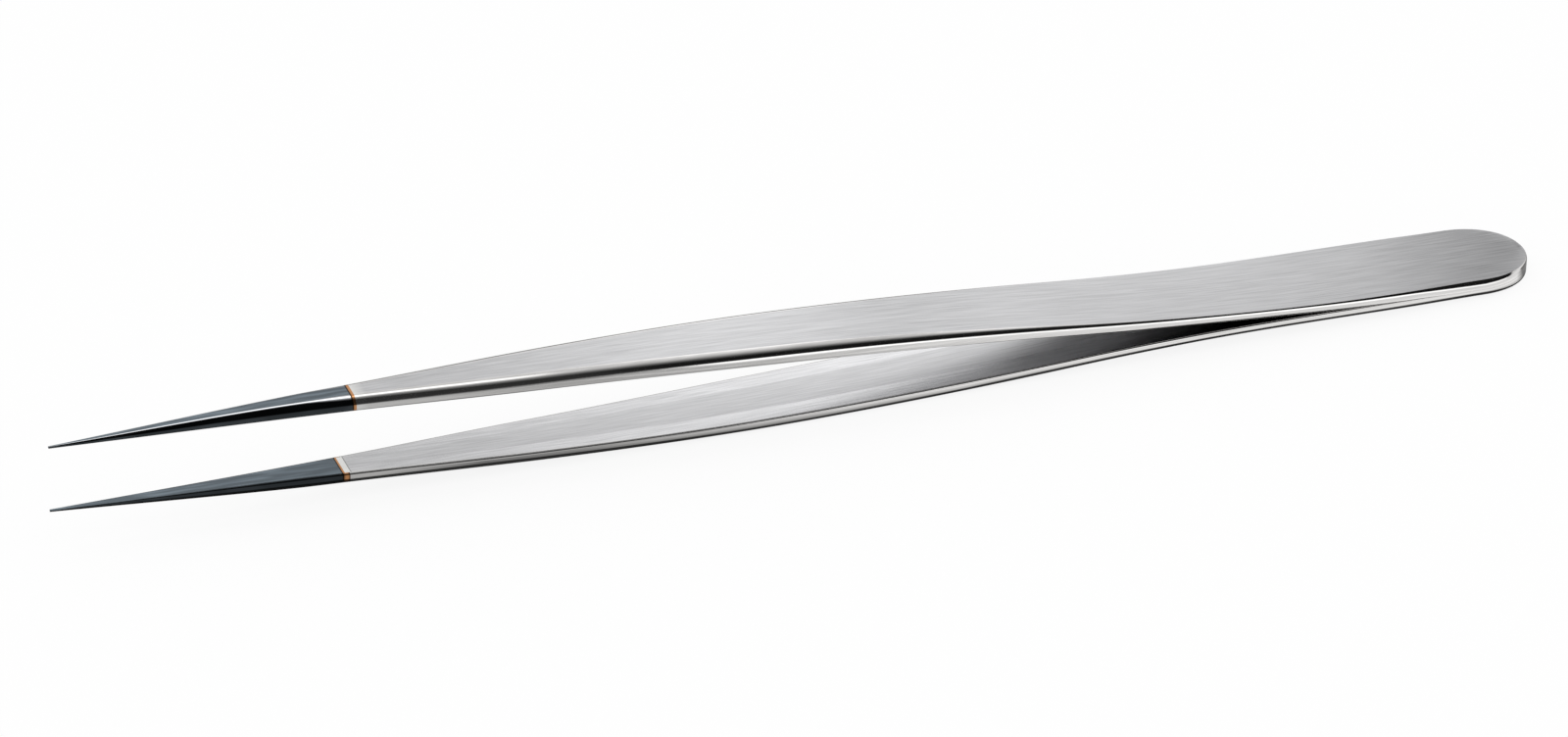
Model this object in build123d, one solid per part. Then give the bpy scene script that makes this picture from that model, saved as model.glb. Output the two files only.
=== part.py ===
from build123d import *
import math
import os

# Straight precision tweezers with needle points, lying on a table. Two spring steel blades, each the
# mirror image of the other, are welded face to face at the butt. Each blade bows away from its
# partner, runs parallel to it at the front, and is ground to a fine point that carries a hard coating.
# A station is a distance from the butt end along the blades; the points are towards -X.

# Lengths of a blade's stretches, in order from the butt end to the point
weld_length = 14.0  # the blades lie face to face here and are welded
flex_length = 14.0  # up to the thinnest place, where the blades spring
waist_length = 8.0  # the outer edges have only a small break up to the end of this
grip_length = 37.0  # the broad part that the fingers hold
shoulder_length = 22.5  # the width rounds off into the taper
taper_length = 18.0  # bare steel taper
coat_length = 26.5  # ground needle with the hard coating

# Widths of a blade's inner face, at the ends of the stretches
butt_width = 10.5
waist_width = 9.4
grip_width = 8.4
shoulder_width = 6.2
needle_width = 3.4
point_width = 0.24
butt_round = 6.0  # length of the rounded butt end

# Thickness of a blade
butt_thickness = 0.80
flex_thickness = 0.78
grip_thickness = 1.32
needle_thickness = 1.24
point_thickness = 0.17

# Chamfer between the outer face and the side faces
edge_break = 0.13  # from the butt to the waist
grip_bevel = 0.50
needle_bevel = 0.55
point_bevel = 0.05

# How far the side faces lean in, from the inner face to the chamfer
grip_lean = 0.28
needle_lean = 0.05
point_lean = 0.03

# Bow of the inner faces, from the weld to where the blades run parallel
tip_gap = 6.2  # between the inner faces at the points
bow_rise_length = 32.0  # the blades part more and more steeply
bow_ease_length = 51.0  # and then ease back to parallel

# Making of the blade
section_spacing = 10.0  # most that two sections of the blank are apart
grinding_stock = 0.5  # left under the inner face of the blank, before it is ground away
rest_flat = 0.03  # depth of the flats that a blade lies on, at the bow and at the butt's end

flex_station = weld_length + flex_length
waist_station = flex_station + waist_length
grip_station = waist_station + grip_length
shoulder_station = grip_station + shoulder_length
coat_station = shoulder_station + taper_length
length = coat_station + coat_length
bow_turn = weld_length + bow_rise_length
bow_end = bow_turn + bow_ease_length


def smooth_value(knots, station):
    """A value that runs smoothly through (station, value) knots, without overshooting them."""
    if station <= knots[0][0]:
        return knots[0][1]
    steps = [(b[1] - a[1]) / (b[0] - a[0]) for a, b in zip(knots, knots[1:])]
    slopes = [steps[0]]
    for before, after in zip(steps, steps[1:]):
        turns = before * after <= 0
        slopes.append(0.0 if turns else 2 * before * after / (before + after))
    slopes.append(steps[-1])
    i = max(k for k in range(len(steps)) if station > knots[k][0])
    start, end = knots[i], knots[i + 1]
    span = end[0] - start[0]
    u = (station - start[0]) / span
    return (
        (1 + 2 * u) * (1 - u) ** 2 * start[1]
        + u * (1 - u) ** 2 * span * slopes[i]
        + u * u * (3 - 2 * u) * end[1]
        - u * u * (1 - u) * span * slopes[i + 1]
    )


def half_width(station):
    """Half the width of the inner face."""
    knots = [
        (butt_round, butt_width / 2),
        (weld_length, butt_width / 2),
        (waist_station, waist_width / 2),
        (grip_station, grip_width / 2),
        (shoulder_station, shoulder_width / 2),
        (coat_station, needle_width / 2),
        (length, point_width / 2),
    ]
    return smooth_value(knots, station)


def thickness(station):
    """Thickness of the blade, from its inner face to its outer face."""
    knots = [
        (weld_length, butt_thickness),
        (flex_station, flex_thickness),
        (grip_station, grip_thickness),
        (coat_station, needle_thickness),
        (length, point_thickness),
    ]
    return smooth_value(knots, station)


def bevel(station):
    """Leg of the chamfer between the outer face and a side face."""
    knots = [
        (waist_station, edge_break),
        (grip_station, grip_bevel),
        (coat_station, needle_bevel),
        (length, point_bevel),
    ]
    return smooth_value(knots, station)


def lean(station):
    """How far a side face leans in, from the inner face to the chamfer."""
    knots = [
        (waist_station, 0.0),
        (grip_station, grip_lean),
        (coat_station, needle_lean),
        (length, point_lean),
    ]
    return smooth_value(knots, station)


def inner_height(station):
    """Height of the inner face over the middle plane: flat, bowing out, easing back, then flat."""
    steepest = tip_gap / (bow_rise_length + bow_ease_length)
    if station <= weld_length:
        return 0.0
    if station <= bow_turn:
        return steepest * (station - weld_length) ** 2 / (2 * bow_rise_length)
    if station <= bow_end:
        return tip_gap / 2 - steepest * (bow_end - station) ** 2 / (2 * bow_ease_length)
    return tip_gap / 2


def outer_height(station):
    """Height of the outer face over the middle plane."""
    return inner_height(station) + thickness(station)


def along(station):
    """X of a station, with the middle of the length at X = 0."""
    return length / 2 - station


def cross_plane(station):
    """Plane across the blade at a station: its X is the row's Y, and its Y is the row's Z."""
    return Plane(origin=(along(station), 0, 0), x_dir=(0, 1, 0), z_dir=(1, 0, 0))


def blank_section(station):
    """Cross-section of a blade blank, with some stock left under the inner face."""
    top = outer_height(station)
    knee = top - bevel(station)
    base = inner_height(station) - grinding_stock
    side_slope = lean(station) / (thickness(station) - bevel(station))
    base_half = half_width(station) + side_slope * grinding_stock
    knee_half = half_width(station) - lean(station)
    flat_half = knee_half - bevel(station)
    right = [(base_half, base), (knee_half, knee), (flat_half, top)]
    left = [(-y, z) for y, z in reversed(right)]
    with BuildSketch(cross_plane(station)) as section:
        with BuildLine():
            Polyline(*right, *left, close=True)
        make_face()
    return section.sketch


def section_stations():
    """Stations of the blank's sections: the ends of the stretches, and even steps between them."""
    ends = [
        weld_length,
        flex_station,
        waist_station,
        grip_station,
        shoulder_station,
        coat_station,
        length,
    ]
    stations = [ends[0]]
    for start, end in zip(ends, ends[1:]):
        count = math.ceil((end - start) / section_spacing)
        stations += [start + (end - start) * k / count for k in range(1, count + 1)]
    return stations


def under_bow():
    """The space under the bowed inner face, which grinding takes off the blank."""
    stations = [
        weld_length,
        (weld_length + bow_turn) / 2,
        bow_turn,
        (bow_turn + bow_end) / 2,
        bow_end,
    ]
    bow = [(along(s), inner_height(s)) for s in stations]
    past_point = min(along(length), along(bow_end)) - grinding_stock
    depth = -2 * grinding_stock
    front = (past_point, tip_gap / 2)
    with BuildSketch(Plane.XZ.offset(-butt_width)) as below:
        with BuildLine():
            Spline(*bow, tangents=[(-1, 0), (-1, 0)])
            Polyline(bow[-1], front, (past_point, depth), (along(weld_length), depth), bow[0])
        make_face()
    return extrude(below.sketch, amount=2 * butt_width)


def blade_front():
    """The sprung and tapering part of a blade, from the weld to the point."""
    blank = loft([blank_section(s) for s in section_stations()])
    return blank - under_bow()


def blade_butt():
    """The flat, round-ended part of a blade that is welded to its partner."""
    joint_x = along(weld_length)
    joint_half = half_width(weld_length)
    round_x = along(butt_round)
    round_half = half_width(butt_round)
    with BuildSketch() as outline:
        with BuildLine():
            Line((joint_x, -joint_half), (round_x, -round_half))
            EllipticalCenterArc((round_x, 0), butt_round, round_half, -90, arc_size=180)
            Polyline((round_x, round_half), (joint_x, joint_half), (joint_x, -joint_half))
        make_face()
    butt = extrude(outline.sketch, amount=butt_thickness)
    outer_face = butt.faces().sort_by(Axis.Z)[-1]
    rim = outer_face.edges().sort_by(Axis.X)[1:]
    return chamfer(rim, edge_break)


def rest_tilt():
    """Angle at which the tweezers lie, on the butt's end and on the bow of the lower blade."""
    steps = 400
    stations = [edge_break + (length - edge_break) * k / steps for k in range(1, steps + 1)]
    rises = [(outer_height(s) - butt_thickness) / (s - edge_break) for s in stations]
    return math.atan(max(rises))


def resting_plane():
    """Plane over a blade's butt end and bow, sunk a little so that it leaves a flat on each."""
    outwards = Vector(math.sin(rest_tilt()), 0, math.cos(rest_tilt()))
    butt_edge = Vector(along(edge_break), 0, butt_thickness)
    return Plane(origin=butt_edge - outwards * rest_flat, z_dir=outwards)


def blade():
    """One blade, over the middle plane."""
    whole = blade_butt() + blade_front()
    return split(whole, bisect_by=resting_plane(), keep=Keep.BOTTOM)


upper = blade()
lower = mirror(upper, about=Plane.XY)
lying = Rot(0, math.degrees(rest_tilt()), 0)
box = Compound([lying * upper, lying * lower]).bounding_box()
place = Pos(-box.center().X, -box.center().Y, -box.min.Z) * lying

os.makedirs("parts", exist_ok=True)
export_step(place * upper, "parts/upper_arm.step")
export_step(place * lower, "parts/lower_arm.step")
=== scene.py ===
"""Needle-point tweezers with coated points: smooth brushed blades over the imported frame, and their stage."""

import math

import bpy
from mathutils import Matrix, Vector


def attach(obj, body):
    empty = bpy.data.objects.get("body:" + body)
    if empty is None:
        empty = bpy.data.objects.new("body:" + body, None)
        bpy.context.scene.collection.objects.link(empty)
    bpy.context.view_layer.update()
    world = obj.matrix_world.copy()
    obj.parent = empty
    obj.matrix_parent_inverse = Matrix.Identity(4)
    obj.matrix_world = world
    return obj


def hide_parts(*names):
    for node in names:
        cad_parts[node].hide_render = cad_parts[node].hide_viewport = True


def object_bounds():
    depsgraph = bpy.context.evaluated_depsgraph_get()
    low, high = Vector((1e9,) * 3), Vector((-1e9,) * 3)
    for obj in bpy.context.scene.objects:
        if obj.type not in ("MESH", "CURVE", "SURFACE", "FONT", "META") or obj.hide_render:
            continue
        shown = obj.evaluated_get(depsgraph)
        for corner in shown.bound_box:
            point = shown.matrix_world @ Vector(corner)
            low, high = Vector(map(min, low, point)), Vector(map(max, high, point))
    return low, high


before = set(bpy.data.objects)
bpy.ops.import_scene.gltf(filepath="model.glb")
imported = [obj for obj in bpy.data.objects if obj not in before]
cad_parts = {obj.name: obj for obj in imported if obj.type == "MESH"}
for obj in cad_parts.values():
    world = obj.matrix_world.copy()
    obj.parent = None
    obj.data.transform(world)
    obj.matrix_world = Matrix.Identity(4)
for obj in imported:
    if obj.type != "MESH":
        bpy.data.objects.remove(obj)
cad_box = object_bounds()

bl_info = {
    "name": "Coated needle tweezers",
    "version": (1, 0, 0),
    "blender": (4, 5, 0),
    "location": "3D View > Sidebar > Tweezers",
    "description": "Shapes and finishes the blades of needle-point tweezers, and sets up their stage",
    "category": "Object",
}

MM = 0.001
SENSOR_WIDTH = 36.0  # of Blender's camera, in mm

# Making of the blades' mesh
BUTT_TURNS = 24  # rings round the butt's end
TILT_STEPS = 400  # places where the bow is tried for the one it rests on
CREST_ROUND = 0.35  # share of the crest's height that a corner at either end of it rounds off
FACING_END = 0.9999  # faces that face +X more than this are the closed cap of the butt
MERGE_DISTANCE = 0.5e-6  # in metres

# Places round a blade, as shares of the whole way round
OUTER_CORNER = 1 / 16  # from the middle of the outer face to that of its rounded corner
INNER_SIDE = 0.25  # further than this from that middle is the inner half
COAT_HIGHLIGHT_LINE = (0.05, 0.02)  # from the corner's middle: the painted highlight starts, and is full

# Grain of the steel and streaks of the coating: how many to the metre along X, Y and Z, and detail
FACE_GRAIN = (((60.0, 1500.0, 20.0), 4.0), ((120.0, 8000.0, 30.0), 3.0))
EDGE_GRAIN = (((50.0, 400.0, 1500.0), 3.0), ((120.0, 900.0, 5000.0), 2.0))
COAT_STREAKS = ((90.0, 900.0, 200.0), 3.0)
STREAK_ROUGHNESS = 0.6
BROAD_SHARE = 0.4  # of the broad streaks in the grain, beside the fine ones
EDGE_CONTRAST = 0.4  # of the faces' contrast
GRAIN_RANGE = (0.35, 0.65)
STREAK_RANGE = (0.4, 0.7)
STREAK_TONES = (0.85, 1.45)
SHEEN_SPREAD = 0.12  # of the steel's roughness, from the grain's dark to its pale streaks
COAT_EDGE = 0.05  # mm over which the steel's sheen begins
BAND_BLUR = 0.02  # mm over which a sharp band of the coating's edge begins
BUMP_STRENGTH = 0.35
BUMP_HEIGHT = 0.004  # mm
BRUSHING = 0.6  # anisotropy of the brushed faces
BRUSHING_TURN = 0.25

# Tones that the steel reflects, where 1 is white. Places round the light tent are in degrees, from
# the near floor over the top to the far floor, and places along it are in mm from the middle.
ROUND_NEEDLE = (
    (0, 0.80), (7, 0.80), (13, 0.35), (28, 0.12), (42, 0.04), (66, 0.03), (78, 0.22),
    (92, 0.70), (100, 1.7), (112, 1.7), (122, 0.8), (138, 0.95), (152, 1.0), (163, 0.7),
    (172, 0.15), (180, 0.03),
)
ROUND_GRIP = (
    (0, 0.95), (7, 0.95), (11, 1.6), (20, 1.6), (26, 0.35), (34, 0.08), (42, 0.01), (64, 0.01),
    (72, 0.08), (82, 0.28), (94, 0.52), (108, 0.66), (134, 0.72), (145, 0.97), (152, 1.0),
    (163, 0.7), (172, 0.15), (180, 0.03),
)
ROUND_BUTT = (
    (0, 0.95), (7, 0.95), (11, 1.35), (40, 1.35), (48, 0.01), (88, 0.01), (98, 0.85),
    (180, 0.85),
)
# Each of these takes over from the one before it between two places along the tent
TENT_PROFILES = (
    (ROUND_NEEDLE, None),
    (ROUND_GRIP, (56, 65)),
    (ROUND_BUTT, (205, 235)),
)
ALONG_FAR_SIDE = (
    (5, 1.15), (16, 1.02), (30, 0.86), (50, 0.82), (75, 1.16), (94, 1.46), (113, 1.48),
    (126, 1.14), (144, 0.90), (158, 1.42), (168, 1.72), (178, 1.26), (188, 0.80), (200, 0.38),
    (212, 0.27), (232, 0.32), (262, 1.0),
)
ALONG_NEAR_SIDE = (
    (46, 0.68), (64, 0.64), (85, 0.64), (99, 0.72), (110, 0.86), (125, 1.10),
)
# Tones along the tent, each with the turns where it is absent and where it is full
TENT_LENGTHWISE = (
    (ALONG_FAR_SIDE, 100, 130),
    (ALONG_NEAR_SIDE, 13, 8),
)
# Painted shadow, with a thin paler rim, that the steel shows in the floor round the blades. Its tones go
# by the distance in mm out from the edge of that painted dark under the blades, and by the place along them
# next to that edge, further away and behind it
FLOOR_EDGE = (
    (-60, 4.0), (-34, 3.8), (-20, 3.7), (0, 4.1), (14, 4.5), (26, 5.4), (34, 6.2), (45, 6.6),
    (56, 6.2), (64, 5.7),
)
FLOOR_OUTWARD = (
    (0, 0.04), (0.08, 0.10), (0.25, 0.60), (0.45, 0.76), (0.7, 0.90), (1.0, 1.25), (1.2, 0.98),
    (2, 0.90), (60, 0.90),
)
FLOOR_BESIDE = (
    (-58, 0.60), (-42, 0.55), (-37, 0.42), (-31, 0.22), (-22, 0.34), (-12, 0.62), (-4, 0.72),
    (4, 0.88), (14, 1.0),
)
FLOOR_AWAY = (
    (-45, 0.70), (-32, 0.66), (-20, 0.55), (0, 0.50), (20, 0.95), (30, 1.05), (45, 1.0),
)
FLOOR_BEHIND = (
    (12, 0.85), (18, 0.75), (23, 0.25), (30, 0.06), (60, 0.05), (68, 0.25),
)
AWAY_FADE = (3, 8)  # out from that edge: from beside to away
BEHIND_FADE = (-4.2, -2.9)  # in Y: from in front to behind


# Properties


def size(name, description, millimetres):
    """A length property, with its default in millimetres."""
    return bpy.props.FloatProperty(
        name=name, description=description, default=millimetres * MM, unit="LENGTH", precision=5
    )


def share(name, description, value):
    """A property between 0 and 1."""
    return bpy.props.FloatProperty(
        name=name, description=description, default=value, min=0, max=1, subtype="FACTOR"
    )


def colour(name, description, value):
    """A colour property, in linear light."""
    return bpy.props.FloatVectorProperty(
        name=name, description=description, default=value, min=0, max=1, size=3, subtype="COLOR"
    )


def angle(name, description, degrees):
    """An angle property, with its default in degrees."""
    return bpy.props.FloatProperty(
        name=name, description=description, default=math.radians(degrees), subtype="ANGLE"
    )


class BladeSizes(bpy.types.PropertyGroup):
    """Sizes of a blade. A station is a distance from the butt end, and the points are towards -X."""

    weld_length: size("Weld", "The blades lie face to face up to here", 14.0)
    flex_length: size("Flex", "From the weld to the thinnest place", 14.0)
    waist_length: size("Waist", "The outer edges have only a small break up to its end", 8.0)
    grip_length: size("Grip", "Broad part that the fingers hold", 37.0)
    shoulder_length: size("Shoulder", "The width rounds off into the taper", 22.5)
    taper_length: size("Taper", "Bare steel up to the coating", 18.0)
    coat_length: size("Needle", "Ground needle that carries the coating", 26.5)

    butt_width: size("Butt width", "Width of the inner face over the weld", 10.5)
    waist_width: size("Waist width", "Width at the end of the waist", 9.4)
    grip_width: size("Grip width", "Width at the end of the grip", 8.4)
    shoulder_width: size("Shoulder width", "Width at the end of the shoulder", 6.2)
    needle_width: size("Needle width", "Width at the edge of the coating", 3.4)
    point_width: size("Point width", "Width at the point", 0.24)
    butt_round: size("Butt round", "Length of the rounded butt end", 6.0)

    butt_thickness: size("Butt thickness", "Thickness over the weld", 0.80)
    flex_thickness: size("Flex thickness", "Least thickness, where a blade springs", 0.78)
    grip_thickness: size("Grip thickness", "Thickness at the end of the grip", 1.32)
    needle_thickness: size("Needle thickness", "Thickness at the edge of the coating", 1.24)
    point_thickness: size("Point thickness", "Thickness at the point", 0.17)

    edge_break: size("Edge break", "Outer chamfer at the end of the waist", 0.13)
    end_length: size("End length", "From the butt's tip to where the next bevel starts to widen", 1.0)
    end_bevel: size("End bevel", "The same at the tip of the butt", 0.05)
    butt_bevel: size("Butt bevel", "The same where the butt's round end starts", 0.30)
    weld_bevel: size("Weld bevel", "The same at the end of the weld", 0.16)
    flex_bevel: size("Flex bevel", "The same at the thinnest place", 0.10)
    grip_bevel: size("Grip bevel", "Outer chamfer at the end of the grip", 0.50)
    needle_bevel: size("Needle bevel", "Outer chamfer at the edge of the coating", 0.55)
    point_bevel: size("Point bevel", "Outer chamfer at the point", 0.05)
    grip_lean: size("Grip lean", "How far a side leans in at the end of the grip", 0.28)
    needle_lean: size("Needle lean", "How far a side leans in at the coating", 0.05)
    point_lean: size("Point lean", "How far a side leans in at the point", 0.03)

    tip_gap: size("Gap", "Between the inner faces at the points", 6.2)
    bow_rise_length: size("Bow rise", "The blades part more and more steeply", 32.0)
    bow_ease_length: size("Bow ease", "They ease back to parallel", 51.0)
    rest_flat: size("Rest flat", "Depth of the flats that a blade lies on", 0.03)

    seam_end: size("Seam end", "The polished weld hides the seam up to here", 9.5)
    inner_round: size("Inner round", "Rounding of the inner face's edges", 0.30)
    seam_round: size("Seam round", "The same where the weld closes the seam", 0.004)
    waist_crest: size("Waist crest", "Height of the crest between side and bevel, up to there", 0.17)
    grip_crest: size("Grip crest", "The same at the end of the grip", 0.19)
    shoulder_crest: size("Shoulder crest", "The same at the end of the shoulder", 0.20)
    needle_crest: size("Needle crest", "The same at the edge of the coating", 0.10)
    crest_turn: angle("Crest turn", "How far the crest faces outwards from the side", 22.0)
    waist_knee: share("Waist knee", "Share of the bevel that rounds into the crest there", 0.12)
    grip_knee: share("Grip knee", "The same at the end of the grip", 0.30)
    shoulder_knee: share("Shoulder knee", "The same at the end of the shoulder", 0.25)
    needle_knee: share("Needle knee", "The same at the edge of the coating", 0.50)
    waist_brow: share("Waist brow", "Share of the bevel that rounds into the outer face", 0.05)
    grip_brow: share("Grip brow", "The same at the end of the grip", 0.60)
    shoulder_brow: share("Shoulder brow", "The same at the end of the shoulder", 0.60)
    needle_brow: share("Needle brow", "The same at the edge of the coating", 0.45)
    point_round: share("Point round", "Both of these shares on the coating", 0.20)
    coat_ease: size("Coating ease", "The coated edges turn crisp over this length", 4.0)

    ring_spacing: size("Ring spacing", "Between two rings of the mesh", 1.0)
    corner_steps: bpy.props.IntProperty(
        name="Corner steps", description="Facets in each rounded edge", default=4, min=1, max=8
    )


class Finish(bpy.types.PropertyGroup):
    """Colours and textures of the steel, the coating and the heat-tinted line between them."""

    face_colour: colour("Face", "Brushed steel of the broad faces", (0.62, 0.62, 0.63))
    face_roughness: share("Face roughness", "Satin sheen of the broad faces", 0.30)
    inner_roughness: share("Inner roughness", "The same on the faces between the blades", 0.20)
    grain_contrast: share("Grain contrast", "How much the brushed grain shows", 0.16)
    edge_colour: colour("Edge", "Polished steel of sides and bevels", (0.72, 0.71, 0.70))
    edge_roughness: share("Edge roughness", "Sheen of sides and bevels", 0.10)
    coat_colour: colour("Coating", "Hard coating on the faces of the needle", (0.135, 0.165, 0.19))
    # Painted shade: a darker copy of the coating's colour, for its sides
    shaded_coat_colour: colour("Coating in painted shade", "The same on its sides", (0.045, 0.052, 0.058))
    # Painted highlight along the coating's outer edges
    coat_edge_highlight: colour("Coat edge highlight", "Painted highlight along the coating's outer edges", (0.85, 0.87, 0.90))
    coat_roughness: share("Coating roughness", "Sheen of the coating", 0.32)
    line_colour: colour("Coating line", "Dark line where the coating ends", (0.01, 0.009, 0.008))
    bronze_colour: colour("Bronze", "Heat-tinted line beside the coating", (0.62, 0.30, 0.13))
    strip_colour: colour("Strip", "Bright polished strip beside the bronze", (0.86, 0.86, 0.84))
    shade: colour("Shade", "Thin line where that strip ends", (0.30, 0.30, 0.30))
    # Painted shade: the inner faces darkened next to the weld, where the blades shade each other
    wedge_shade: share("Wedge shade", "Darkness of the inner faces next to the weld", 0.6)
    wedge_shade_start: size("Shade start", "It is full up to this station", 30.0)
    wedge_shade_end: size("Shade end", "It has gone at this station", 50.0)
    line_width: size("Line width", "Width of the dark line", 0.08)
    bronze_width: size("Bronze width", "Width of the bronze line on the upper blade", 0.30)
    lower_bronze_width: size("Lower bronze width", "The same on the lower blade's faces", 0.20)
    side_bronze_width: size("Side bronze width", "The same on the lower blade's sides", 0.62)
    strip_width: size("Strip width", "Width of the polished strip", 0.58)
    upper_coat: size("Upper coating", "Coated length of the upper blade", 26.95)
    lower_coat: size("Lower coating", "Coated length of the lower blade", 26.05)


class Stage(bpy.types.PropertyGroup):
    """The photographer's view, the floor and the light tent that the steel reflects."""

    azimuth: angle("Azimuth", "Camera's turn round the tweezers", -19.2006)
    elevation: angle("Elevation", "Camera's height above the horizon", 30.0738)
    roll: angle("Roll", "Camera's turn about its line of sight", -1.0767)
    distance: size("Distance", "From the camera to the point it aims at", 689.9)
    lens: bpy.props.FloatProperty(name="Lens", description="Focal length, in mm", default=177.12)
    aim: bpy.props.FloatVectorProperty(
        name="Aim",
        description="Point that the camera aims at",
        default=(-2.0873 * MM, 0.4988 * MM, 3.4427 * MM),
        size=3,
        subtype="XYZ",
        unit="LENGTH",
        precision=5,
    )
    floor_colour: colour("Floor", "Pale floor", (0.95, 0.95, 0.95))
    floor_glow: share("Floor glow", "How far the floor outshines the shadow on it", 0.88)
    tent_radius: size("Tent radius", "Half tunnel that the steel reflects", 300.0)
    tent_length: size("Tent length", "Length of that tunnel", 1400.0)
    tent_middle: size("Tent middle", "Middle of its toned stretch", 215.0)
    tent_stretch: size("Tent stretch", "Half the length of that stretch", 265.0)
    tent_fade: size("Tent fade", "From there to its even ends", 50.0)
    tent_tone: share("Tent tone", "Tone of those ends", 0.85)


# Rule of the blade's shape


def smooth_value(knots, station):
    """A value that runs smoothly through (station, value) knots, without overshooting them."""
    if station <= knots[0][0]:
        return knots[0][1]
    steps = [(b[1] - a[1]) / (b[0] - a[0]) for a, b in zip(knots, knots[1:])]
    slopes = [steps[0]]
    for before, after in zip(steps, steps[1:]):
        turns = before * after <= 0
        slopes.append(0.0 if turns else 2 * before * after / (before + after))
    slopes.append(steps[-1])
    i = max(k for k in range(len(steps)) if station > knots[k][0])
    start, end = knots[i], knots[i + 1]
    span = end[0] - start[0]
    u = min(1.0, (station - start[0]) / span)
    return (
        (1 + 2 * u) * (1 - u) ** 2 * start[1]
        + u * (1 - u) ** 2 * span * slopes[i]
        + u * u * (3 - 2 * u) * end[1]
        - u * u * (1 - u) * span * slopes[i + 1]
    )


class BladeRule:
    """Works out a blade's section at any station from its sizes."""

    def __init__(self, sizes):
        self.sizes = sizes
        self.flex = sizes.weld_length + sizes.flex_length
        self.waist = self.flex + sizes.waist_length
        self.grip = self.waist + sizes.grip_length
        self.shoulder = self.grip + sizes.shoulder_length
        self.needle = self.shoulder + sizes.taper_length
        self.length = self.needle + sizes.coat_length

    def along(self, station):
        """X of a station, with the middle of the length at X = 0."""
        return self.length / 2 - station

    def outer_middle(self):
        """Place of the outer face's middle, as a share of the way round."""
        return 0.5 - 1 / (16 * (self.sizes.corner_steps + 1))

    def round_turn(self, station):
        """Angle round the butt's elliptical end, from 0 at its tip to a quarter turn at its sides."""
        past_end = 1 - station / self.sizes.butt_round
        return math.acos(max(0.0, min(1.0, past_end)))

    def half_width(self, station):
        """Half the width of the inner face."""
        sizes = self.sizes
        knots = [
            (sizes.butt_round, sizes.butt_width / 2),
            (sizes.weld_length, sizes.butt_width / 2),
            (self.waist, sizes.waist_width / 2),
            (self.grip, sizes.grip_width / 2),
            (self.shoulder, sizes.shoulder_width / 2),
            (self.needle, sizes.needle_width / 2),
            (self.length, sizes.point_width / 2),
        ]
        return smooth_value(knots, station) * math.sin(self.round_turn(station))

    def facing_end(self, station):
        """How far the outline faces +X: 1 at the tip of the butt, 0 along the sides."""
        turn = self.round_turn(station)
        towards_end = math.cos(turn) / self.sizes.butt_round
        towards_side = math.sin(turn) * 2 / self.sizes.butt_width
        return towards_end / math.hypot(towards_end, towards_side)

    def facing_side(self, station):
        """How far the outline faces sideways."""
        return math.sqrt(max(0.0, 1 - self.facing_end(station) ** 2))

    def thickness(self, station):
        """Thickness of the blade, from its inner face to its outer face."""
        sizes = self.sizes
        knots = [
            (sizes.weld_length, sizes.butt_thickness),
            (self.flex, sizes.flex_thickness),
            (self.grip, sizes.grip_thickness),
            (self.needle, sizes.needle_thickness),
            (self.length, sizes.point_thickness),
        ]
        return smooth_value(knots, station)

    def bevel(self, station):
        """Leg of the chamfer between the outer face and a side."""
        sizes = self.sizes
        knots = [
            (sizes.end_length, sizes.end_bevel),
            (sizes.butt_round, sizes.butt_bevel),
            (sizes.weld_length, sizes.weld_bevel),
            (self.flex, sizes.flex_bevel),
            (self.waist, sizes.edge_break),
            (self.grip, sizes.grip_bevel),
            (self.needle, sizes.needle_bevel),
            (self.length, sizes.point_bevel),
        ]
        return smooth_value(knots, station)

    def lean(self, station):
        """How far a side leans in, from the inner face to the bevel."""
        sizes = self.sizes
        knots = [
            (self.waist, 0.0),
            (self.grip, sizes.grip_lean),
            (self.needle, sizes.needle_lean),
            (self.length, sizes.point_lean),
        ]
        return smooth_value(knots, station)

    def inner_height(self, station):
        """Height of the inner face over the middle plane: flat, bowing out, easing back, then flat."""
        sizes = self.sizes
        steepest = sizes.tip_gap / (sizes.bow_rise_length + sizes.bow_ease_length)
        bow_turn = sizes.weld_length + sizes.bow_rise_length
        bow_end = bow_turn + sizes.bow_ease_length
        if station <= sizes.weld_length:
            return 0.0
        if station <= bow_turn:
            return steepest * (station - sizes.weld_length) ** 2 / (2 * sizes.bow_rise_length)
        if station <= bow_end:
            drop = steepest * (bow_end - station) ** 2 / (2 * sizes.bow_ease_length)
            return sizes.tip_gap / 2 - drop
        return sizes.tip_gap / 2

    def inner_round(self, station):
        """Rounding of the inner face's edges, which the polished weld hides at the butt."""
        sizes = self.sizes
        knots = [
            (sizes.seam_end, sizes.seam_round),
            (self.flex, sizes.inner_round),
            (self.needle, sizes.inner_round),
            (self.length, sizes.point_bevel / 2),
        ]
        return smooth_value(knots, station)

    def knee_share(self, station):
        """Share of the bevel that is rounded into the crest."""
        sizes = self.sizes
        knots = [
            (self.waist, sizes.waist_knee),
            (self.grip, sizes.grip_knee),
            (self.shoulder, sizes.shoulder_knee),
            (self.needle, sizes.needle_knee),
            (self.needle + sizes.coat_ease, sizes.point_round),
            (self.length, sizes.point_round),
        ]
        return smooth_value(knots, station)

    def brow_share(self, station):
        """Share of the bevel that is rounded into the outer face."""
        sizes = self.sizes
        knots = [
            (self.waist, sizes.waist_brow),
            (self.grip, sizes.grip_brow),
            (self.shoulder, sizes.shoulder_brow),
            (self.needle, sizes.needle_brow),
            (self.needle + sizes.coat_ease, sizes.point_round),
            (self.length, sizes.point_round),
        ]
        return smooth_value(knots, station)

    def crest(self, station):
        """Height of the crest: the polished strip of the side next to the bevel."""
        sizes = self.sizes
        knots = [
            (self.waist, sizes.waist_crest),
            (self.grip, sizes.grip_crest),
            (self.shoulder, sizes.shoulder_crest),
            (self.needle, sizes.needle_crest),
            (self.length, sizes.point_bevel / 8),
        ]
        return smooth_value(knots, station)

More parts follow.
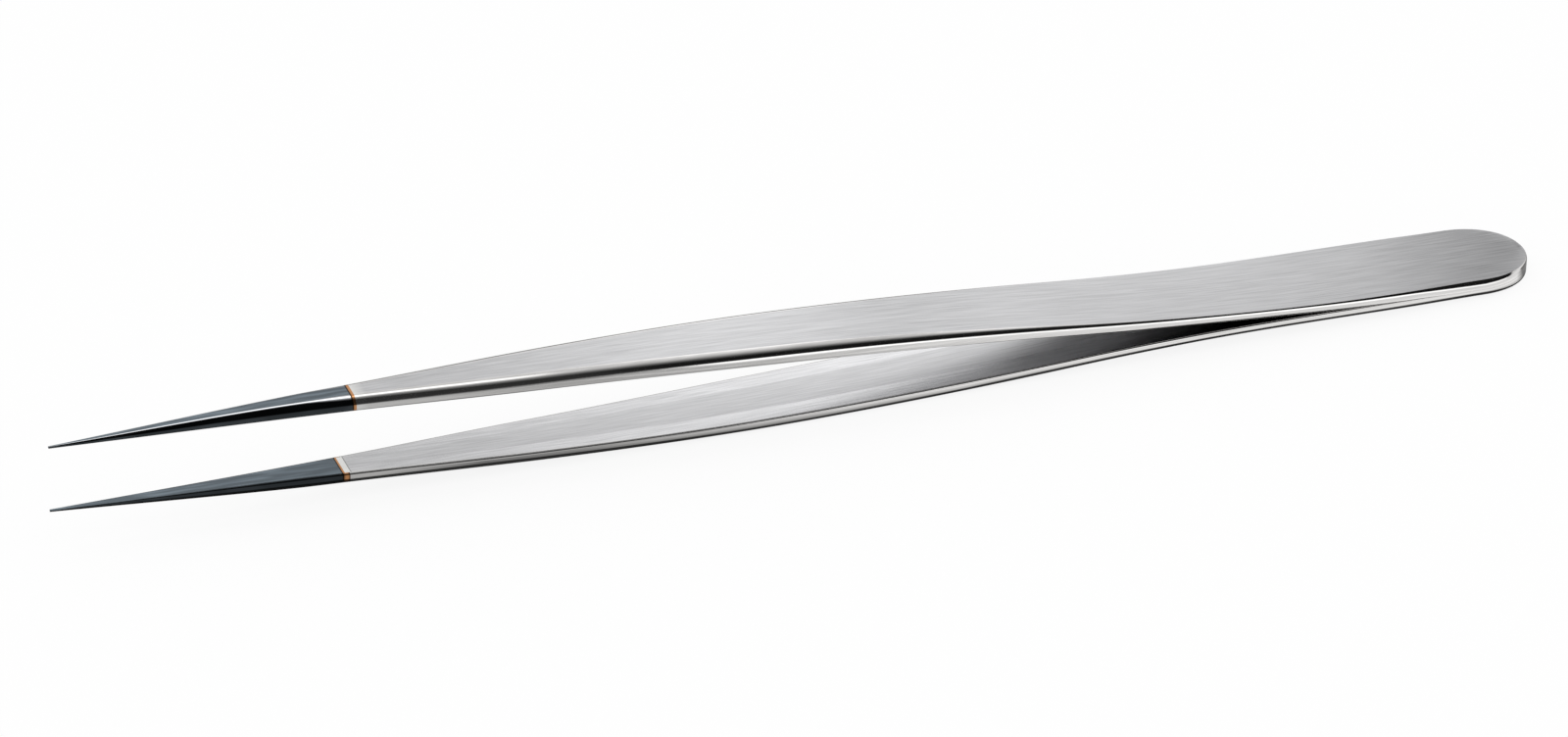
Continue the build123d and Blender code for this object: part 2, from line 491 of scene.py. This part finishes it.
    def crest_inset(self, station):
        """How far the crest leans in more than the side does."""
        side_slope = self.lean(station) / (self.thickness(station) - self.bevel(station))
        return self.crest(station) * max(0.0, math.tan(self.sizes.crest_turn) - side_slope)

    def ring_stations(self):
        """Stations of the mesh's rings: even turns round the butt, then even steps to the point."""
        sizes = self.sizes
        turn = math.pi / 2 / BUTT_TURNS
        stations = [sizes.butt_round * (1 - math.cos(turn * k)) for k in range(BUTT_TURNS + 1)]
        straight = self.length - sizes.butt_round
        count = math.ceil(straight / sizes.ring_spacing)
        stations += [sizes.butt_round + straight * k / count for k in range(1, count + 1)]
        return stations

    def rest_tilt(self):
        """Angle at which the tweezers lie, on the butt's end and on the bow of the lower blade."""
        sizes = self.sizes
        step = (self.length - sizes.edge_break) / TILT_STEPS
        stations = [sizes.edge_break + step * k for k in range(1, TILT_STEPS + 1)]
        rises = [
            (self.inner_height(s) + self.thickness(s) - sizes.butt_thickness)
            / (s - sizes.edge_break)
            for s in stations
        ]
        return math.atan(max(rises))

    def placement(self):
        """Matrix that lays a blade, built over its middle plane, where the frame has it."""
        sizes = self.sizes
        tilt = Matrix.Rotation(self.rest_tilt(), 4, "Y")
        butt_edge = Vector((self.along(sizes.edge_break), 0, -sizes.butt_thickness))
        ends = [
            tilt @ Vector((self.along(0), 0, sizes.butt_thickness - sizes.edge_break)),
            tilt @ Vector((self.along(self.length), 0, -sizes.tip_gap / 2 - sizes.point_thickness)),
        ]
        low, high = cad_box
        centre_x = (ends[0].x + ends[1].x) / 2
        lift = low.z - (tilt @ butt_edge).z - sizes.rest_flat
        return Matrix.Translation(((low.x + high.x) / 2 - centre_x, 0, lift)) @ tilt


# Node trees


class Graph:
    """Adds nodes to a tree, and fills their inputs in order with sockets or plain values."""

    def __init__(self, tree):
        self.tree = tree

    def node(self, kind, *values, **settings):
        made = self.tree.nodes.new(kind)
        for name, value in settings.items():
            setattr(made, name, value)
        self.fill(made, values)
        return made

    def fill(self, made, values):
        shown = [socket for socket in made.inputs if socket.enabled]
        for socket, value in zip(shown, values):
            if isinstance(value, bpy.types.NodeSocket):
                self.tree.links.new(value, socket)
            elif value is not None:
                socket.default_value = value

    def out(self, kind, *values, **settings):
        """The first output of a new node."""
        made = self.node(kind, *values, **settings)
        return next(socket for socket in made.outputs if socket.enabled)

    def math(self, operation, *values):
        return self.out("ShaderNodeMath", *values, operation=operation)

    def vector(self, operation, *values):
        return self.out("ShaderNodeVectorMath", *values, operation=operation)

    def fade(self, value, start, end, low=0.0, high=1.0):
        """Runs evenly from low to high while the value goes from start to end."""
        return self.out("ShaderNodeMapRange", value, start, end, low, high)

    def mix_number(self, factor, first, second):
        return self.out("ShaderNodeMix", factor, first, second, data_type="FLOAT")

    def join(self, x, y, z):
        return self.out("ShaderNodeCombineXYZ", x, y, z)

    def mix_vector(self, factor, first, second):
        return self.out("ShaderNodeMix", factor, first, second, data_type="VECTOR")

    def mix_colour(self, factor, first, second, blend="MIX"):
        return self.out(
            "ShaderNodeMix", factor, first, second, data_type="RGBA", blend_type=blend
        )

    def read(self, name):
        """A number that the mesh holds under this name."""
        return self.out("GeometryNodeInputNamedAttribute", name, data_type="FLOAT")

    def pick(self, index, choices, data_type):
        """The choice with this number."""
        made = self.tree.nodes.new("GeometryNodeIndexSwitch")
        made.data_type = data_type
        while len(made.index_switch_items) < len(choices):
            made.index_switch_items.new()
        self.fill(made, [index, *choices])
        return made.outputs[0]


def add_input(tree, name, kind, description):
    socket = tree.interface.new_socket(name, in_out="INPUT", socket_type=kind)
    socket.description = description
    return socket.identifier


def blade_skin():
    """Geometry Nodes that skin a backbone with rings of an eight-cornered section, corners rounded."""
    tree = bpy.data.node_groups.new("blade_skin", "GeometryNodeTree")
    tree.is_modifier = True
    inputs = {
        "backbone": add_input(tree, "Backbone", "NodeSocketGeometry", "Stations with their sizes"),
        "steps": add_input(tree, "Corner Steps", "NodeSocketInt", "Facets in each rounded edge"),
        "lower": add_input(tree, "Lower", "NodeSocketBool", "Mirror the blade downwards"),
        "face": add_input(tree, "Face Finish", "NodeSocketMaterial", "For the broad faces"),
        "edge": add_input(tree, "Edge Finish", "NodeSocketMaterial", "For sides and bevels"),
    }
    tree.interface.new_socket("Blade", in_out="OUTPUT", socket_type="NodeSocketGeometry")
    graph = Graph(tree)
    given, steps, lower, face_finish, edge_finish = [
        socket for socket in graph.node("NodeGroupInput").outputs if socket.name
    ]

    # A closed loop of numbered points: near side from inner to outer face, then far side back
    per_corner = graph.math("ADD", steps, 1.0)
    per_side = graph.math("MULTIPLY", per_corner, 4.0)
    per_loop = graph.math("MULTIPLY", per_side, 2.0)
    loop = graph.out("GeometryNodeCurvePrimitiveCircle", per_loop, mode="RADIUS")
    loop = graph.out(
        "GeometryNodeStoreNamedAttribute",
        loop,
        None,
        "loop_point",
        graph.out("GeometryNodeInputIndex"),
        data_type="FLOAT",
        domain="POINT",
    )
    rail = graph.out("GeometryNodeMeshToCurve", given)
    skin = graph.out("GeometryNodeCurveToMesh", rail, loop, None, True)

    # Place of each point: its corner, and how far it is round that corner
    number = graph.read("loop_point")
    far_side = graph.math("GREATER_THAN", number, graph.math("SUBTRACT", per_side, 0.5))
    back_number = graph.math("SUBTRACT", graph.math("SUBTRACT", per_loop, 1.0), number)
    side_number = graph.mix_number(far_side, number, back_number)
    corner = graph.math("FLOOR", graph.math("DIVIDE", side_number, per_corner))
    past_corner = graph.math("SUBTRACT", side_number, graph.math("MULTIPLY", corner, per_corner))
    turned = graph.math("DIVIDE", past_corner, steps)

    # Corners as (inset from the outline, height over the inner face)
    lean, bevel, thickness = graph.read("lean"), graph.read("bevel"), graph.read("thickness")
    crest, crest_inset = graph.read("crest"), graph.read("crest_inset")
    knee_height = graph.math("SUBTRACT", thickness, bevel)
    crest_share = graph.math("DIVIDE", crest, knee_height)
    crest_base_inset = graph.math("SUBTRACT", lean, graph.math("MULTIPLY", lean, crest_share))
    knee_inset = graph.math("ADD", lean, crest_inset)
    inner_corner = graph.join(0.0, 0.0, 0.0)
    crest_base = graph.join(crest_base_inset, graph.math("SUBTRACT", knee_height, crest), 0.0)
    knee = graph.join(knee_inset, knee_height, 0.0)
    outer_corner = graph.join(graph.math("ADD", knee_inset, bevel), thickness, 0.0)
    inwards = (1.0, 0.0, 0.0)
    corners = [inner_corner, crest_base, knee, outer_corner]
    before = [graph.vector("ADD", inner_corner, inwards), *corners[:-1]]
    after = [*corners[1:], graph.vector("ADD", outer_corner, inwards)]
    bevel_length = graph.vector("DISTANCE", knee, outer_corner)
    inner_reach = graph.math("MINIMUM", graph.read("inner_round"), knee_height)
    crest_reach = graph.math("MULTIPLY", crest, CREST_ROUND)
    knee_reach = graph.math("MULTIPLY", bevel_length, graph.read("knee_share"))
    knee_down = graph.math("MINIMUM", knee_reach, crest_reach)
    brow_reach = graph.math("MULTIPLY", bevel_length, graph.read("brow_share"))
    reaches = (
        [inner_reach, crest_reach, knee_down, brow_reach],
        [inner_reach, crest_reach, knee_reach, brow_reach],
    )
    here = graph.pick(corner, corners, "VECTOR")
    arc_ends = []
    for others, choices in zip((before, after), reaches):
        towards = graph.vector("SUBTRACT", graph.pick(corner, others, "VECTOR"), here)
        step = graph.node("ShaderNodeVectorMath", operation="SCALE")
        tree.links.new(graph.vector("NORMALIZE", towards), step.inputs[0])
        tree.links.new(graph.pick(corner, choices, "FLOAT"), step.inputs["Scale"])
        arc_ends.append(graph.vector("ADD", here, step.outputs[0]))
    start = graph.mix_vector(turned, arc_ends[0], here)
    end = graph.mix_vector(turned, here, arc_ends[1])
    section = graph.node("ShaderNodeSeparateXYZ", graph.mix_vector(turned, start, end))
    inset, height = section.outputs[0], section.outputs[1]

    # Set the point over the outline of its side, which turns round the butt end
    end_inset = graph.math("MULTIPLY", inset, graph.read("facing_end"))
    side_inset = graph.math("MULTIPLY", inset, graph.read("facing_side"))
    out_from_middle = graph.math("SUBTRACT", graph.read("half_width"), side_inset)
    side = graph.math("MULTIPLY_ADD", far_side, 2.0, -1.0)
    raised = graph.math("ADD", graph.read("inner_height"), height)
    up_or_down = graph.math("MULTIPLY_ADD", lower, -2.0, 1.0)
    place = graph.join(
        graph.math("SUBTRACT", graph.read("along"), end_inset),
        graph.math("MULTIPLY", out_from_middle, side),
        graph.math("MULTIPLY", raised, up_or_down),
    )
    skin = graph.out("GeometryNodeSetPosition", skin, None, place)

    # The cap over the butt's end closes to nothing, and goes
    on_end = graph.math("GREATER_THAN", graph.read("facing_end"), FACING_END)
    skin = graph.node("GeometryNodeDeleteGeometry", skin, on_end, domain="FACE").outputs[0]

    # Mark the broad faces: the loop's first and last steps on each side
    on_inner = graph.math("LESS_THAN", side_number, 0.5)
    on_outer = graph.math("GREATER_THAN", side_number, graph.math("SUBTRACT", per_side, 1.5))
    broad = [
        graph.out(
            "GeometryNodeFieldOnDomain",
            graph.math("GREATER_THAN", chosen, 0.5),
            data_type="BOOLEAN",
            domain="FACE",
        )
        for chosen in (on_inner, on_outer)
    ]
    skin = graph.out(
        "GeometryNodeStoreNamedAttribute",
        skin,
        None,
        "broad_face",
        graph.out("FunctionNodeBooleanMath", *broad, operation="OR"),
        data_type="BOOLEAN",
        domain="FACE",
    )

    # Coordinates along the blade and round it
    along_and_round = graph.join(graph.read("along"), graph.math("DIVIDE", number, per_loop), 0.0)
    skin = graph.out(
        "GeometryNodeStoreNamedAttribute",
        skin,
        None,
        "UVMap",
        along_and_round,
        data_type="FLOAT2",
        domain="CORNER",
    )
    skin = graph.out("GeometryNodeMergeByDistance", skin, None, MERGE_DISTANCE)
    flipped = graph.out("GeometryNodeFlipFaces", skin)
    skin = graph.out("GeometryNodeSwitch", lower, skin, flipped, input_type="GEOMETRY")
    skin = graph.out("GeometryNodeSetShadeSmooth", skin, None, None, True)
    skin = graph.out("GeometryNodeRealizeInstances", skin)
    skin = graph.out("GeometryNodeSetMaterial", skin, None, edge_finish)
    is_broad = graph.out("GeometryNodeInputNamedAttribute", "broad_face", data_type="BOOLEAN")
    skin = graph.out("GeometryNodeSetMaterial", skin, is_broad, face_finish)
    graph.node("NodeGroupOutput", skin)
    return tree, inputs


def new_material(name):
    """A material with an empty node tree, and the graph that fills it."""
    material = bpy.data.materials.new(name)
    material.use_nodes = True
    material.node_tree.nodes.clear()
    return material, Graph(material.node_tree)


def coat_bands(graph, edge_distance, finish, coat, steel, bronze_width, strip):
    """Colour across the coating's edge: coating, dark line, bronze, polished strip, then steel."""
    span = finish.line_width + bronze_width + 2 * finish.strip_width
    soft = BAND_BLUR * MM
    share_of_span = graph.math("DIVIDE", edge_distance, span)

    def step(at, width):
        start = at / span
        return graph.fade(share_of_span, start, start + width / span)

    line = (*finish.line_colour, 1)
    line_end = finish.line_width
    bronze_end = line_end + bronze_width
    strip_end = bronze_end + finish.strip_width
    bands = graph.mix_colour(step(0, soft), coat, line)
    bands = graph.mix_colour(step(line_end, bronze_width / 3), bands, (*finish.bronze_colour, 1))
    if strip is None:
        bands = graph.mix_colour(step(bronze_end - bronze_width / 3, bronze_width / 3), bands, line)
        return graph.mix_colour(step(bronze_end - soft, soft), bands, steel)
    bands = graph.mix_colour(step(bronze_end - soft, soft), bands, (*finish.strip_colour, 1))
    if strip == "sharp":
        bands = graph.mix_colour(step(strip_end - line_end, soft), bands, (*finish.shade, 1))
        return graph.mix_colour(step(strip_end, soft), bands, steel)
    return graph.mix_colour(step(bronze_end, 2 * finish.strip_width), bands, steel)


def streaks(graph, place, per_metre, detail):
    """Soft noise, drawn out into so many streaks to the metre along X, Y and Z."""
    stretched = graph.vector("MULTIPLY", place, per_metre)
    return graph.out("ShaderNodeTexNoise", stretched, None, 1.0, detail, STREAK_ROUGHNESS)


def toned(graph, colour, tone):
    """A colour made paler or darker by a tone."""
    tones = graph.join(tone, tone, tone)
    return graph.mix_colour(1.0, (*colour, 1), tones, blend="MULTIPLY")


def distance_past_coating(graph, place, rule, coat_length):
    """Distance from the coating's edge towards the butt, along the blades."""
    lengthwise = rule.placement().to_3x3() @ Vector((1, 0, 0))
    edge_point = rule.placement() @ Vector((rule.along(rule.length - coat_length), 0, 0))
    run = graph.node("ShaderNodeVectorMath", place, tuple(lengthwise), operation="DOT_PRODUCT")
    return graph.math("SUBTRACT", run.outputs["Value"], lengthwise.dot(edge_point))


def steel_colour(graph, finish, grain, on_face):
    """Colour of the bare steel, with its grain."""
    contrast = finish.grain_contrast if on_face else finish.grain_contrast * EDGE_CONTRAST
    tone = graph.fade(grain, *GRAIN_RANGE, 1 - contrast, 1 + contrast)
    return toned(graph, finish.face_colour if on_face else finish.edge_colour, tone)


def painted_wedge_shade(graph, finish, rule, steel, lengthwise, inner):
    """The steel, with painted shade on the inner faces next to the weld, where the blades shade each other."""
    start, end = rule.along(finish.wedge_shade_end), rule.along(finish.wedge_shade_start)
    # Painted shade in the gap between the blades: full up to one station and gone by the other
    wedge_shade_mask = graph.math("MULTIPLY", graph.fade(lengthwise, start, end), inner)
    return graph.mix_colour(graph.math("MULTIPLY", wedge_shade_mask, finish.wedge_shade), steel, (0, 0, 0, 1))


def coating_colour(graph, finish, place, from_outer_face, on_face):
    """Colour of the coating: soft paler streaks, and a painted highlight along the outer face's edges."""
    tone = graph.fade(streaks(graph, place, *COAT_STREAKS), *STREAK_RANGE, *STREAK_TONES)
    # The sides take the coating's darker copy, which is painted shade
    coat = toned(graph, finish.coat_colour if on_face else finish.shaded_coat_colour, tone)
    if on_face:
        return coat
    # Painted highlight along the coated outer edges, full at the corner's middle
    from_corner = graph.math("ABSOLUTE", graph.math("SUBTRACT", from_outer_face, OUTER_CORNER))
    return graph.mix_colour(graph.fade(from_corner, *COAT_HIGHLIGHT_LINE), coat, (*finish.coat_edge_highlight, 1))


def steel_material(name, finish, rule, coat_length, on_face, bronze_width, strip):
    """Brushed or polished steel, with the coating over the needle and the tinted line at its edge."""
    material, graph = new_material(name)
    place = graph.node("ShaderNodeTexCoord").outputs["Object"]
    along_and_round = graph.node("ShaderNodeUVMap", uv_map="UVMap").outputs[0]
    lengthwise, around = graph.node("ShaderNodeSeparateXYZ", along_and_round).outputs[:2]
    from_outer_face = graph.math("ABSOLUTE", graph.math("SUBTRACT", around, rule.outer_middle()))
    edge_distance = distance_past_coating(graph, place, rule, coat_length)

    broad, fine = [
        streaks(graph, place, *kind) for kind in (FACE_GRAIN if on_face else EDGE_GRAIN)
    ]
    fine = graph.math("MULTIPLY", fine, 1 - BROAD_SHARE)
    grain = graph.math("MULTIPLY_ADD", broad, BROAD_SHARE, fine)
    steel = steel_colour(graph, finish, grain, on_face)
    roughness = coat_roughness = finish.edge_roughness
    if on_face:
        inner = graph.math("GREATER_THAN", from_outer_face, INNER_SIDE)
        steel = painted_wedge_shade(graph, finish, rule, steel, lengthwise, inner)
        roughness = graph.mix_number(inner, finish.face_roughness, finish.inner_roughness)
        coat_roughness = finish.coat_roughness
    coat = coating_colour(graph, finish, place, from_outer_face, on_face)
    colour_out = coat_bands(graph, edge_distance, finish, coat, steel, bronze_width, strip)

    smoothest = graph.math("SUBTRACT", roughness, SHEEN_SPREAD / 2)
    steel_roughness = graph.math("MULTIPLY_ADD", grain, SHEEN_SPREAD, smoothest)
    bare = graph.fade(edge_distance, 0.0, COAT_EDGE * MM)
    roughness_out = graph.mix_number(bare, coat_roughness, steel_roughness)

    shader = graph.node("ShaderNodeBsdfPrincipled")
    link = graph.tree.links.new
    link(colour_out, shader.inputs["Base Color"])
    link(roughness_out, shader.inputs["Roughness"])
    shader.inputs["Metallic"].default_value = 1.0
    if on_face:
        bump = graph.node("ShaderNodeBump")
        bump.inputs["Strength"].default_value = BUMP_STRENGTH
        bump.inputs["Distance"].default_value = BUMP_HEIGHT * MM
        link(grain, bump.inputs["Height"])
        link(bump.outputs[0], shader.inputs["Normal"])
        shader.inputs["Anisotropic"].default_value = BRUSHING
        shader.inputs["Anisotropic Rotation"].default_value = BRUSHING_TURN
        tangent = graph.node("ShaderNodeTangent", direction_type="UV_MAP", uv_map="UVMap")
        link(tangent.outputs[0], shader.inputs["Tangent"])
    graph.node("ShaderNodeOutputMaterial", shader.outputs[0])
    return material


# Pieces


def backbone_object(rule):
    """A row of stations along the blade, which hold the sizes of its section."""
    stations = rule.ring_stations()
    mesh = bpy.data.meshes.new("backbone")
    links = [(k, k + 1) for k in range(len(stations) - 1)]
    mesh.from_pydata([(rule.along(s), 0, 0) for s in stations], links, [])
    for value in (
        rule.along,
        rule.half_width,
        rule.facing_end,
        rule.facing_side,
        rule.thickness,
        rule.bevel,
        rule.lean,
        rule.inner_height,
        rule.inner_round,
        rule.crest,
        rule.crest_inset,
        rule.knee_share,
        rule.brow_share,
    ):
        held = mesh.attributes.new(value.__name__, "FLOAT", "POINT")
        held.data.foreach_set("value", [value(s) for s in stations])
    made = bpy.data.objects.new("backbone", mesh)
    bpy.context.collection.objects.link(made)
    return made


def skinned_blade(name, rule, lower, face_finish, edge_finish):
    """A blade as a plain mesh, skinned over its backbone and laid where the frame has it."""
    tree, inputs = blade_skin()
    backbone = backbone_object(rule)
    skin = backbone.modifiers.new("skin", "NODES")
    skin.node_group = tree
    skin[inputs["steps"]] = rule.sizes.corner_steps
    skin[inputs["lower"]] = lower
    skin[inputs["face"]] = face_finish
    skin[inputs["edge"]] = edge_finish
    evaluated = backbone.evaluated_get(bpy.context.evaluated_depsgraph_get())
    mesh = bpy.data.meshes.new_from_object(evaluated)
    mesh.name = name
    bpy.data.objects.remove(backbone)
    mesh.transform(rule.placement())
    for attribute in [a.name for a in mesh.attributes if a.data_type == "FLOAT"]:
        mesh.attributes.remove(mesh.attributes[attribute])
    blade = bpy.data.objects.new(name, mesh)
    bpy.context.collection.objects.link(blade)
    even_light = blade.modifiers.new("flat_faces", "WEIGHTED_NORMAL")
    even_light.mode = "FACE_AREA"
    even_light.weight = 100
    return blade


class TWEEZERS_OT_blades(bpy.types.Operator):
    """Shape both blades and give them their finishes"""

    bl_idname = "tweezers.blades"
    bl_label = "Blades"

    def execute(self, context):
        scene = context.scene
        rule = BladeRule(scene.blade_sizes)
        finish = scene.blade_finish
        upper_bands = [(finish.bronze_width, "soft")] * 2
        lower_bands = [(finish.lower_bronze_width, "sharp"), (finish.side_bronze_width, None)]
        for node, lower, coat_length, (face_bands, edge_bands) in (
            ("upper_arm", False, finish.upper_coat, upper_bands),
            ("lower_arm", True, finish.lower_coat, lower_bands),
        ):
            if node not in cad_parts:
                raise RuntimeError(f"the frame has no node {node}")
            finishes = [
                steel_material(f"{node}_{part}", finish, rule, coat_length, on_face, *bands)
                for part, on_face, bands in (
                    ("face", True, face_bands),
                    ("edge", False, edge_bands),
                )
            ]
            blade = skinned_blade(f"{node}_blade", rule, lower, *finishes)
            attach(blade, "root")
            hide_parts(node)
        return {"FINISHED"}


# Stage


def stage_plane(name, centre, towards, width, height, material):
    """A flat rectangle that faces a direction, marked as stage."""
    mesh = bpy.data.meshes.new(name)
    corners = [(-width / 2, -height / 2), (width / 2, -height / 2)]
    corners += [(-x, -y) for x, y in corners]
    turn = Vector(towards).to_track_quat("Z", "Y").to_matrix().to_4x4()
    place = Matrix.Translation(centre) @ turn
    mesh.from_pydata([place @ Vector((x, y, 0)) for x, y in corners], [], [(0, 1, 2, 3)])
    mesh.materials.append(material)
    made = bpy.data.objects.new(name, mesh)
    bpy.context.collection.objects.link(made)


def tone_ramp(graph, where, stops, unit):
    """Tone at a place, through (place, tone) stops in this unit."""
    low, high = stops[0][0], stops[-1][0]
    brightest = max(tone for _, tone in stops)
    made = graph.node("ShaderNodeValToRGB", graph.fade(where, low * unit, high * unit))
    elements = made.color_ramp.elements
    while len(elements) < len(stops):
        elements.new(1.0)
    for element, (at, tone) in zip(elements, stops):
        element.position = (at - low) / (high - low)
        element.color = (*[tone / brightest] * 3, 1)
    return graph.vector("MULTIPLY", made.outputs["Color"], (brightest,) * 3)


def floor_material(stage, round_length):
    """Pale floor that shows white to the camera and keeps a soft shadow; in the steel it shows white with a
    painted shadow round the blades.
    """
    material, graph = new_material("floor")
    path = graph.node("ShaderNodeLightPath").outputs
    in_steel = path["Is Glossy Ray"]
    seen = graph.math("MAXIMUM", path["Is Camera Ray"], path["Is Transmission Ray"])
    glow = graph.math("MULTIPLY_ADD", seen, stage.floor_glow, in_steel)
    place = graph.node("ShaderNodeTexCoord").outputs["Object"]
    axes = graph.node("ShaderNodeSeparateXYZ", place).outputs
    past_side = graph.math("SUBTRACT", axes["X"], cad_box[1].x - round_length)
    past_side = graph.math("MAXIMUM", past_side, 0.0)
    reach = graph.vector("LENGTH", graph.join(past_side, axes["Y"], 0.0))
    # Painted shadow that only the steel shows: the floor darkened round the blades, with a thin paler rim
    edge = graph.math("MULTIPLY", tone_ramp(graph, axes["X"], FLOOR_EDGE, MM), MM)
    outward = graph.math("SUBTRACT", reach, edge)
    away = graph.fade(outward, *(place * MM for place in AWAY_FADE))
    behind = graph.fade(axes["Y"], *(place * MM for place in BEHIND_FADE))
    beside_tone, away_tone, behind_tone = [
        tone_ramp(graph, axes["X"], stops, MM)
        for stops in (FLOOR_BESIDE, FLOOR_AWAY, FLOOR_BEHIND)
    ]
    in_front_tone = graph.mix_vector(away, beside_tone, away_tone)
    painted_shadow_in_steel = graph.vector(
        "MULTIPLY",
        tone_ramp(graph, outward, FLOOR_OUTWARD, MM),
        graph.mix_vector(behind, in_front_tone, behind_tone),
    )
    # The camera sees plain white here, and the steel sees the painted shadow
    tone = graph.mix_vector(in_steel, (1, 1, 1), painted_shadow_in_steel)
    matt = graph.out("ShaderNodeBsdfDiffuse", (*stage.floor_colour, 1))
    white = graph.out("ShaderNodeEmission", tone, 1.0)
    graph.node("ShaderNodeOutputMaterial", graph.out("ShaderNodeMixShader", glow, matt, white))
    return material


def tent_material(stage):
    """Inside of the light tent, toned round the blades and along them, with even ends."""
    material, graph = new_material("light_tent")
    place = graph.node("ShaderNodeTexCoord").outputs["Object"]
    axes = graph.node("ShaderNodeSeparateXYZ", place).outputs
    near = graph.math("MULTIPLY", axes["Y"], -1.0)
    turn = graph.math("ARCTAN2", axes["Z"], near)
    tone = None
    for stops, change in TENT_PROFILES:
        profile = tone_ramp(graph, turn, stops, math.pi / 180)
        if change:
            start, end = change
            there = graph.fade(axes["X"], start * MM, end * MM)
            profile = graph.mix_vector(there, tone, profile)
        tone = profile
    for stops, start, end in TENT_LENGTHWISE:
        there = graph.fade(turn, math.radians(start), math.radians(end))
        along = tone_ramp(graph, axes["X"], stops, MM)
        tone = graph.vector("MULTIPLY", tone, graph.mix_vector(there, (1, 1, 1), along))
    from_middle = graph.math("ABSOLUTE", graph.math("SUBTRACT", axes["X"], stage.tent_middle))
    fade_end = stage.tent_stretch + stage.tent_fade
    faded = graph.fade(from_middle, stage.tent_stretch, fade_end)
    tone = graph.mix_vector(faded, tone, (stage.tent_tone,) * 3)
    graph.node("ShaderNodeOutputMaterial", graph.out("ShaderNodeEmission", tone, 1.0))
    material.cycles.emission_sampling = "NONE"
    return material


def light_tent(stage):
    """A half tunnel over the tweezers, which shows only in the steel."""
    facets = 60
    half_length = stage.tent_length / 2
    corners = []
    for k in range(facets + 1):
        turn = math.pi * k / facets
        y, z = -stage.tent_radius * math.cos(turn), stage.tent_radius * math.sin(turn)
        corners += [(-half_length, y, z), (half_length, y, z)]
    faces = [(2 * k, 2 * k + 1, 2 * k + 3, 2 * k + 2) for k in range(facets)]
    mesh = bpy.data.meshes.new("light_tent")
    mesh.from_pydata(corners, [], faces)
    mesh.materials.append(tent_material(stage))
    tent = bpy.data.objects.new("light_tent", mesh)
    bpy.context.collection.objects.link(tent)
    tent.visible_camera = False
    tent.visible_diffuse = False
    tent.visible_transmission = False
    tent.visible_volume_scatter = False
    tent.visible_shadow = False


def add_camera(stage):
    """The camera at the photograph's viewing angle."""
    data = bpy.data.cameras.new("camera")
    data.lens = stage.lens
    data.sensor_width = SENSOR_WIDTH
    data.clip_start = stage.distance / 100
    data.clip_end = stage.distance * 100
    camera = bpy.data.objects.new("camera", data)
    azimuth, elevation = stage.azimuth, stage.elevation
    back = Vector(
        (
            math.sin(azimuth) * math.cos(elevation),
            -math.cos(azimuth) * math.cos(elevation),
            math.sin(elevation),
        )
    )
    right = Vector((math.cos(azimuth), math.sin(azimuth), 0))
    upright = Matrix((right, back.cross(right), back)).transposed()
    rolled = upright @ Matrix.Rotation(stage.roll, 3, "Z")
    place = Matrix.Translation(Vector(stage.aim) + back * stage.distance)
    camera.matrix_world = place @ rolled.to_4x4()
    bpy.context.collection.objects.link(camera)
    bpy.context.scene.camera = camera


class TWEEZERS_OT_stage(bpy.types.Operator):
    """Set the camera, the floor, the even light and the light tent that the steel reflects"""

    bl_idname = "tweezers.stage"
    bl_label = "Stage"

    def execute(self, context):
        stage = context.scene.tweezers_stage
        add_camera(stage)
        floor_z = cad_box[0].z
        floor_look = floor_material(stage, context.scene.blade_sizes.butt_round)
        stage_plane("floor", (0, 0, floor_z), (0, 0, 1), 4.0, 4.0, floor_look)
        world = bpy.data.worlds.new("studio")
        world.use_nodes = True
        world.node_tree.nodes["Background"].inputs["Color"].default_value = (1, 1, 1, 1)
        world.node_tree.nodes["Background"].inputs["Strength"].default_value = 1.0
        context.scene.world = world
        context.scene.view_settings.view_transform = "Standard"
        light_tent(stage)
        return {"FINISHED"}


class TWEEZERS_PT_panel(bpy.types.Panel):
    """Sizes and finishes of the tweezers"""

    bl_idname = "TWEEZERS_PT_panel"
    bl_label = "Tweezers"
    bl_space_type = "VIEW_3D"
    bl_region_type = "UI"
    bl_category = "Tweezers"

    def draw(self, context):
        scene = context.scene
        for operator, group in (
            (TWEEZERS_OT_blades, scene.blade_sizes),
            (TWEEZERS_OT_blades, scene.blade_finish),
            (TWEEZERS_OT_stage, scene.tweezers_stage),
        ):
            column = self.layout.column(align=True)
            for name in group.bl_rna.properties.keys():
                if name not in ("rna_type", "name"):
                    column.prop(group, name)
            column.operator(operator.bl_idname)


CLASSES = (
    BladeSizes,
    Finish,
    Stage,
    TWEEZERS_OT_blades,
    TWEEZERS_OT_stage,
    TWEEZERS_PT_panel,
)


def register():
    for cls in CLASSES:
        bpy.utils.register_class(cls)
    scene_type = bpy.types.Scene
    scene_type.blade_sizes = bpy.props.PointerProperty(type=BladeSizes)
    scene_type.blade_finish = bpy.props.PointerProperty(type=Finish)
    scene_type.tweezers_stage = bpy.props.PointerProperty(type=Stage)


def unregister():
    scene_type = bpy.types.Scene
    del scene_type.blade_sizes
    del scene_type.blade_finish
    del scene_type.tweezers_stage
    for cls in reversed(CLASSES):
        bpy.utils.unregister_class(cls)


def main():
    register()
    bpy.ops.tweezers.blades()
    bpy.ops.tweezers.stage()


if __name__ == "__main__":
    main()
